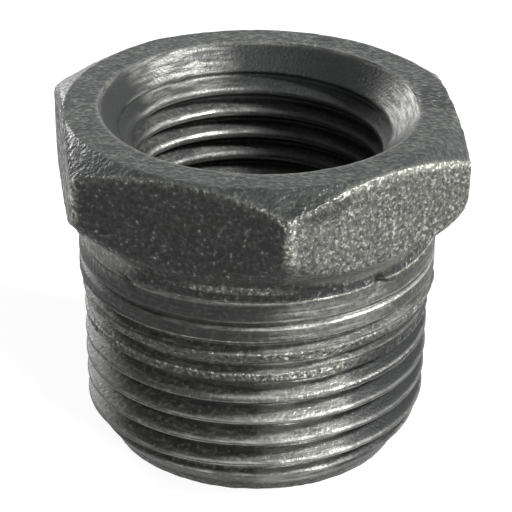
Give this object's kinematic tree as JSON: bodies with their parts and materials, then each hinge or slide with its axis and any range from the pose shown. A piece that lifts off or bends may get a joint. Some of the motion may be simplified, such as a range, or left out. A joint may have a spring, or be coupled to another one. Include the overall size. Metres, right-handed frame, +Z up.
{
  "type": "hex bushing",
  "caption": "Cast iron reducing bushing with a taper pipe thread outside, a smaller one inside and a hexagonal head for a wrench.",
  "frame": {"origin": "centre of the small end's face, on the axis", "axes": "+Z up the bore from the small end to the hexagon's face; two corners of the hexagon lie on the Y axis and two of its flats face -X and +X"},
  "size_m": [0.029, 0.0332, 0.0264],
  "materials": {
    "cast_iron": "rough black cast skin, bare grey where machined"
  },
  "bodies": {
    "root": {"hex_bushing": "cast_iron"}
  },
  "joints": []
}
